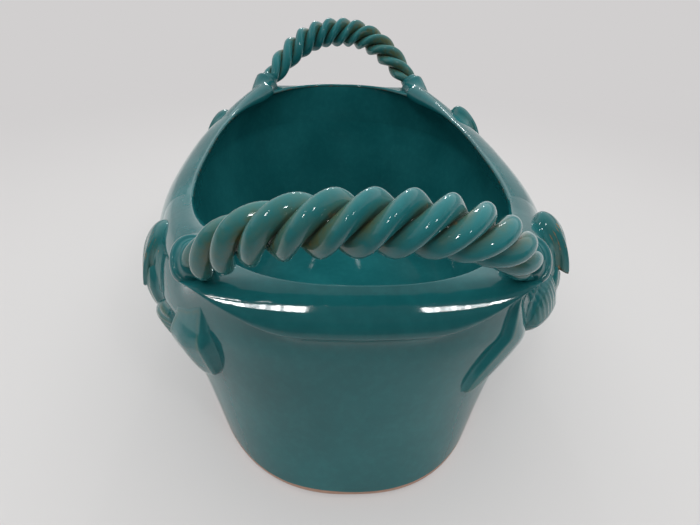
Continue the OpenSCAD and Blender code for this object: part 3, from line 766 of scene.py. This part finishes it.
def fired_glaze(name, finish):
    """Glossy lead-free earthenware glaze, dipped over an oxide wash and fired: deep teal where it
    pools, lighter where it runs thin, olive brown beside grooves and bare brown on worn edges, with
    a faint ripple that breaks up the highlights."""
    wash_strength, pale, broken_tone = GLAZES[name]
    material, tree, output = new_material(name)
    place = node(tree, "TexCoord").outputs["Object"]
    # Clouds about 70 mm across, where the glaze lies thicker or thinner
    clouds = node(tree, "TexNoise", {"Vector": place, "Scale": 1 / 0.070, "Detail": 3.0,
                                     "Roughness": 0.5}).outputs["Fac"]
    # Mottling about 6 mm across
    mottle = node(tree, "TexNoise", {"Vector": place, "Scale": 1 / 0.006, "Detail": 4.0,
                                     "Roughness": 0.6}).outputs["Fac"]
    thin = node(tree, "MapRange", {"Value": clouds, "From Min": 0.35, "From Max": 0.75,
                                   "To Min": pale, "To Max": pale + 0.45})
    speck = node(tree, "MapRange", {"Value": mottle, "From Min": 0.45, "From Max": 0.75,
                                    "To Min": 0.0, "To Max": 0.18})
    thinness = node(tree, "Math", {0: thin.outputs["Result"], 1: speck.outputs["Result"]},
                    operation="ADD")
    teal = node(tree, "Mix", {"Factor": thinness.outputs[0], "A": rgba(finish.teal),
                              "B": rgba(finish.light_teal)}, data_type="RGBA")
    # The wash lies where its mark is high, broken up by the mottling
    mark = node(tree, "Attribute", attribute_name="wash")
    broken = node(tree, "MapRange", {"Value": mottle, "From Min": 0.3, "From Max": 0.65,
                                     "To Min": 0.35, "To Max": 1.0})
    wash_share = node(tree, "Math", {0: mark.outputs["Fac"], 1: broken.outputs["Result"]},
                      operation="MULTIPLY")
    wash_mask = node(tree, "MapRange", {"Value": wash_share.outputs[0], "From Min": 0.1,
                                        "From Max": 0.9, "To Min": 0.0, "To Max": wash_strength})
    washed = node(tree, "Mix", {"Factor": wash_mask.outputs["Result"], "A": teal.outputs["Result"],
                                "B": rgba(finish.wash)}, data_type="RGBA")
    # Worn spots about 9 mm apart, only along the marked edges
    spots = node(tree, "TexNoise", {"Vector": place, "Scale": 1 / 0.009, "Detail": 5.0,
                                    "Roughness": 0.65})
    edge = node(tree, "Attribute", attribute_name="worn")
    edge_share = node(tree, "Math", {0: edge.outputs["Fac"], 1: 0.42}, operation="MULTIPLY")
    reach = node(tree, "Math", {0: spots.outputs["Fac"], 1: edge_share.outputs[0]}, operation="ADD")
    worn_mask = node(tree, "MapRange", {"Value": reach.outputs[0], "From Min": 0.80,
                                        "From Max": 0.95, "To Min": 0.0, "To Max": 0.85})
    broke = node(tree, "Mix", {"Factor": worn_mask.outputs["Result"], "A": washed.outputs["Result"],
                               "B": rgba(getattr(finish, broken_tone))}, data_type="RGBA")
    # Dark lines: the wash pooled in the deepest grooves with painted shade over it, and painted shade
    # along the inner rim where it turns down into the dark inside
    line = node(tree, "Attribute", attribute_name="deep")
    wash_and_shade_share = node(tree, "Math", {0: line.outputs["Fac"], 1: 0.8}, operation="MULTIPLY")
    washed_and_shaded = node(tree, "Mix", {"Factor": wash_and_shade_share.outputs[0], "A": broke.outputs["Result"],
                               "B": rgba(finish.groove)}, data_type="RGBA")
    # The glaze stops short of the ground in an uneven line
    bare = node(tree, "Attribute", attribute_name="clay")
    ragged = node(tree, "Math", {0: clouds, 1: bare.outputs["Fac"]}, operation="ADD")
    clay_mask = node(tree, "MapRange", {"Value": ragged.outputs[0], "From Min": 1.12, "From Max": 1.2})
    shown = node(tree, "Mix", {"Factor": clay_mask.outputs["Result"], "A": washed_and_shaded.outputs["Result"],
                               "B": rgba(finish.clay)}, data_type="RGBA")
    matt = node(tree, "Math", {0: worn_mask.outputs["Result"], 1: clay_mask.outputs["Result"]},
                operation="MAXIMUM")
    roughness = node(tree, "MapRange", {"Value": matt.outputs[0], "To Min": 0.06, "To Max": 0.6})
    # Ripples about 14 mm across and a tenth of a millimetre deep
    ripple = node(tree, "TexNoise", {"Vector": place, "Scale": 1 / 0.014, "Detail": 2.0})
    bump = node(tree, "Bump", {"Height": ripple.outputs["Fac"], "Strength": 0.35, "Distance": 0.0003})
    shader = node(tree, "BsdfPrincipled", {
        "Base Color": shown.outputs["Result"], "Roughness": roughness.outputs["Result"], "IOR": 1.52,
        "Normal": bump.outputs["Normal"]})
    tree.links.new(shader.outputs[0], output.inputs["Surface"])
    return material


def bare_clay(finish):
    """Dry fired earthenware with no glaze: dull, grainy and pinkish, with fine dark grit."""
    material, tree, output = new_material("bare_fired_clay")
    place = node(tree, "TexCoord").outputs["Object"]
    # Grain about 1.5 mm across, a little coarser than real so that it shows
    grain = node(tree, "TexNoise", {"Vector": place, "Scale": 1 / 0.0015, "Detail": 4.0}).outputs["Fac"]
    dark = tuple(c * 0.62 for c in finish.clay)
    tone = node(tree, "Mix", {"Factor": grain, "A": rgba(finish.clay), "B": rgba(dark)},
                data_type="RGBA")
    bump = node(tree, "Bump", {"Height": grain, "Strength": 0.5, "Distance": 0.0004})
    shader = node(tree, "BsdfPrincipled", {
        "Base Color": tone.outputs["Result"], "Roughness": 0.9, "Normal": bump.outputs["Normal"]})
    tree.links.new(shader.outputs[0], output.inputs["Surface"])
    return material


def studio_paper(finish):
    """Matt white paper that takes the pot's soft shadow. Off the camera's own rays it fades out
    towards the front, so the pot's near end mirrors a dark foreground."""
    material, tree, output = new_material("studio_paper")
    place = node(tree, "TexCoord").outputs["Object"]
    # Soft marks about 300 mm across
    marks = node(tree, "TexNoise", {"Vector": place, "Scale": 1 / 0.3, "Detail": 2.0})
    tone = node(tree, "Mix", {"Factor": marks.outputs["Fac"], "A": rgba(finish.floor),
                              "B": rgba(tuple(c * 0.96 for c in finish.floor))}, data_type="RGBA")
    where = node(tree, "SeparateXYZ", {"Vector": place})
    away = node(tree, "MapRange", {"Value": where.outputs["X"], "From Min": 0.28, "From Max": 0.62,
                                   "To Min": 0.0, "To Max": 0.85})
    camera = node(tree, "LightPath").outputs["Is Camera Ray"]
    hidden = node(tree, "Math", {0: 1.0, 1: camera}, operation="SUBTRACT")
    dimmed = node(tree, "Math", {0: away.outputs["Result"], 1: hidden.outputs[0]},
                  operation="MULTIPLY")
    seen = node(tree, "Mix", {"Factor": dimmed.outputs[0], "A": tone.outputs["Result"],
                              "B": (0.0, 0.0, 0.0, 1.0)}, data_type="RGBA")
    shader = node(tree, "BsdfPrincipled", {"Base Color": seen.outputs["Result"], "Roughness": 0.8,
                                           "Specular IOR Level": 0.2})
    # The camera sees paper and backdrop half and half, and beyond a metre the even backdrop alone
    flat = node(tree, "VectorMath", {0: place, 1: (1.0, 1.0, 0.0)}, operation="MULTIPLY")
    reach = node(tree, "VectorMath", {0: flat.outputs["Vector"]}, operation="LENGTH")
    beyond = node(tree, "MapRange", {"Value": reach.outputs["Value"], "From Min": 0.25,
                                     "From Max": 1.0, "To Min": 0.5}, interpolation_type="SMOOTHSTEP")
    direct = node(tree, "Math", {0: beyond.outputs["Result"], 1: camera}, operation="MULTIPLY")
    backdrop = node(tree, "Emission", {"Color": rgba(finish.backdrop)})
    both = node(tree, "MixShader", {0: direct.outputs[0], 1: shader.outputs[0], 2: backdrop.outputs[0]})
    tree.links.new(both.outputs[0], output.inputs["Surface"])
    return material


# Stage, in metres

# Radius of the flat floor, and of its sweep up to the backdrop
FLOOR_R, SWEEP_R = 3.2, 1.6
# A lamp's name, place, turn, width, depth and watts, and whether the glaze mirrors it
CEILING = ("ceiling_light", (0.4, 0.0, 2.4), 0.0, 4.0, 4.0, 50, False)
# Twin strip lights: where each pair starts and ends in plan, and its watts per metre
STRIPS = ((1.34, -0.52, 1.42, -0.54, 9), (1.70, -0.62, 2.32, -0.76, 9), (1.85, 1.05, 2.39, 1.25, 9),
          (-4.0, 0.07, -3.0, 0.07, 9), (-3.7, 0.80, -3.3, 0.80, 4))
# Their height, how far each is off the pair's middle line, and their width
STRIP_H, STRIP_OFF, STRIP_W = 2.0, 0.05, 0.06
# Yaw, pitch and roll are in degrees, the focal length is in pixels of a picture so many wide, and
# the sensor's width is in millimetres
CAMERA_PLACE, CAMERA_TURN = (0.4873, -0.0224, 0.3152), (-3.32, 29.18, 1.67)
FOCAL_PX, PICTURE_PX, SENSOR_MM = 566, 700, 36


def floor_grid(around=96):
    """A flat floor, whose edge sweeps up in a quarter circle."""
    far = np.concatenate([np.linspace(0, FLOOR_R, 9), FLOOR_R + np.linspace(0, 1, 13)[1:] * SWEEP_R])
    rise = SWEEP_R * (1 - np.sqrt(np.clip(1 - ((far - FLOOR_R).clip(0) / SWEEP_R) ** 2, 0, 1)))
    a = np.arange(around) * TURN / around
    return solid(far[:, None, None] * np.stack([np.cos(a), np.sin(a)], -1), rise[:, None]) / MM


def add_lamps(scene):
    """A soft ceiling light, and the strips that the glaze mirrors."""
    lamps = [CEILING]
    for k, (x0, y0, x1, y1, watts) in enumerate(STRIPS):
        run, aim = math.hypot(x1 - x0, y1 - y0), math.atan2(y1 - y0, x1 - x0)
        for j in (-1, 1):
            middle = ((x0 + x1) / 2 - STRIP_OFF * j * math.sin(aim),
                      (y0 + y1) / 2 + STRIP_OFF * j * math.cos(aim), STRIP_H)
            lamps.append((f"strip_{k}_{j + 1}", middle, aim, run, STRIP_W, watts * run, True))
    for name, place, aim, wide, deep, power, shown in lamps:
        data = bpy.data.lights.new(name, "AREA")
        data.shape, data.size, data.size_y, data.energy = "RECTANGLE", wide, deep, power
        lamp = bpy.data.objects.new(name, data)
        scene.collection.objects.link(lamp)
        lamp.location, lamp.rotation_euler = place, (0, 0, aim)
        lamp.visible_glossy = shown


def add_air(scene):
    """Air that is bright behind the pot and dim in front of it, and dimmer overhead."""
    world = bpy.data.worlds.new("studio_air")
    scene.world = world
    world.use_nodes = True
    tree = world.node_tree
    tree.nodes.clear()
    sky = node(tree, "SeparateXYZ", {"Vector": node(tree, "TexCoord").outputs["Generated"]})
    front = node(tree, "MapRange", {"Value": sky.outputs["X"], "From Min": -0.3, "From Max": 0.8,
                                    "To Min": 1.0, "To Max": 0.17})
    high = node(tree, "MapRange", {"Value": sky.outputs["Z"], "From Min": 0.15, "From Max": 0.85,
                                   "To Min": 1.0, "To Max": 0.6})
    lit = node(tree, "Math", {0: front.outputs["Result"], 1: high.outputs["Result"]},
               operation="MULTIPLY")
    level = node(tree, "Mix", {"Factor": node(tree, "LightPath").outputs["Is Camera Ray"],
                               "A": lit.outputs[0], "B": 0.6}, data_type="FLOAT")
    air = node(tree, "Background", {"Color": (1, 1, 1, 1), "Strength": level.outputs["Result"]})
    tree.links.new(air.outputs[0], node(tree, "OutputWorld").inputs["Surface"])


def add_camera(scene):
    """A camera at one narrow end that looks down along the pot."""
    camera = bpy.data.objects.new("photo_camera", bpy.data.cameras.new("photo_camera"))
    scene.collection.objects.link(camera)
    scene.camera = camera
    camera.data.sensor_width, camera.data.lens = SENSOR_MM, SENSOR_MM * FOCAL_PX / PICTURE_PX
    yaw, pitch, roll = (math.radians(v) for v in CAMERA_TURN)
    ahead = Vector((-math.cos(yaw) * math.cos(pitch), -math.sin(yaw) * math.cos(pitch),
                    -math.sin(pitch)))
    right = Vector((-math.sin(yaw), math.cos(yaw), 0))
    up = right.cross(ahead)
    across = right * math.cos(roll) + up * math.sin(roll)
    above = up * math.cos(roll) - right * math.sin(roll)
    turned = Matrix((across, above, -ahead)).transposed().to_4x4()
    camera.matrix_world = Matrix.Translation(CAMERA_PLACE) @ turned


# Operators

class PLANTER_OT_bowl(bpy.types.Operator):
    """Build the glazed bowl with its rolled lips and its dry foot"""
    bl_idname = "planter.bowl"
    bl_label = "Bowl and Foot"

    def execute(self, context):
        s, finish = read_sizes(context.scene), context.scene.planter_finish
        bowl = shell("glazed_bowl", *bowl_grid(s), fired_glaze("teal_glaze", finish))
        seat(bowl, "bowl_glaze", "pot_body")
        foot = shell("dry_foot", foot_grid(s), {}, bare_clay(finish))
        seat(foot, "bare_clay", "unglazed_foot")
        return {"FINISHED"}


class PLANTER_OT_ropes(bpy.types.Operator):
    """Build the twisted rope handle of each end"""
    bl_idname = "planter.ropes"
    bl_label = "Rope Handles"

    def execute(self, context):
        s, finish = read_sizes(context.scene), context.scene.planter_finish
        material = fired_glaze("washed_rope_glaze", finish)
        for end, x in ENDS.items():
            turns, thick = s.turns, 1.0
            if x < 0:
                s.rise, s.arch_power = s.rear_rise, s.rear_power
                turns, thick = s.rear_turns, s.rear_thick
            rope = shell(f"{end}_rope", *rope_grid(s, turns, thick), material, (x, x))
            seat(rope, "rope_glaze", *(f"{end}_rope_strand_{k}" for k in (1, 2, 3)))
        return {"FINISHED"}


class PLANTER_OT_roots(bpy.types.Operator):
    """Build the straps that join the ropes' ends to the rim"""
    bl_idname = "planter.roots"
    bl_label = "Handle Roots"

    def execute(self, context):
        s, finish = read_sizes(context.scene), context.scene.planter_finish
        material = fired_glaze("teal_glaze", finish)
        for end, x in ENDS.items():
            for side, y in SIDES.items():
                root = shell(f"{end}_{side}_root", *root_grid(beside(s, y)), material, (x, y))
                seat(root, "bowl_glaze", f"{end}_{side}_handle_root")
        return {"FINISHED"}


class PLANTER_OT_clusters(bpy.types.Operator):
    """Build the flower bud and three leaves at each corner"""
    bl_idname = "planter.clusters"
    bl_label = "Leaf Clusters"

    def execute(self, context):
        s, finish = read_sizes(context.scene), context.scene.planter_finish
        material = fired_glaze("washed_leaf_glaze", finish)
        makers = {"flower_bud": bud_grid, "smooth_leaf": smooth_leaf_grid,
                  "veined_leaf": veined_leaf_grid, "long_leaf": long_leaf_grid}
        for kind, maker in makers.items():
            for end, x in ENDS.items():
                for side, y in SIDES.items():
                    grid = maker(beside(s, y), s.rear_shift * (x < 0), s.right_lean * (y > 0))
                    piece = shell(f"{end}_{side}_{kind}_glazed", *grid, material, (x, y))
                    seat(piece, "leaf_glaze", f"{end}_{side}_{kind}")
        return {"FINISHED"}


class PLANTER_OT_stage(bpy.types.Operator):
    """Set up the floor, the soft lights and the camera"""
    bl_idname = "planter.stage"
    bl_label = "Stage"

    def execute(self, context):
        scene = context.scene
        floor = shell("studio_floor", floor_grid(), {}, studio_paper(scene.planter_finish))
        add_lamps(scene)
        add_air(scene)
        add_camera(scene)
        scene.view_settings.view_transform = "Standard"
        return {"FINISHED"}


STEPS = (PLANTER_OT_bowl, PLANTER_OT_ropes, PLANTER_OT_roots, PLANTER_OT_clusters, PLANTER_OT_stage)
GROUPS = {"planter_bowl": PlanterBowl, "planter_rope": PlanterRope,
          "planter_leaves": PlanterLeaves, "planter_finish": PlanterFinish}


class PLANTER_PT_panel(bpy.types.Panel):
    """Sizes, colours and building steps of the planter"""
    bl_label = "Planter"
    bl_idname = "PLANTER_PT_panel"
    bl_space_type = "VIEW_3D"
    bl_region_type = "UI"
    bl_category = "Planter"

    def draw(self, context):
        for name, group in GROUPS.items():
            box = self.layout.box()
            box.label(text=group.__doc__)
            for field in group.__annotations__:
                box.prop(getattr(context.scene, name), field)
        for step in STEPS:
            self.layout.operator(step.bl_idname)


def register():
    """Registers the classes and hangs the property groups on the scene."""
    for kind in (*GROUPS.values(), *STEPS, PLANTER_PT_panel):
        bpy.utils.register_class(kind)
    for name, group in GROUPS.items():
        setattr(bpy.types.Scene, name, PointerProperty(type=group))


def unregister():
    """Undoes register in the opposite order."""
    for name in reversed(GROUPS):
        delattr(bpy.types.Scene, name)
    for kind in reversed((*GROUPS.values(), *STEPS, PLANTER_PT_panel)):
        bpy.utils.unregister_class(kind)


def main():
    register()
    bpy.ops.planter.bowl()
    bpy.ops.planter.ropes()
    bpy.ops.planter.roots()
    bpy.ops.planter.clusters()
    bpy.ops.planter.stage()


if __name__ == "__main__":
    main()
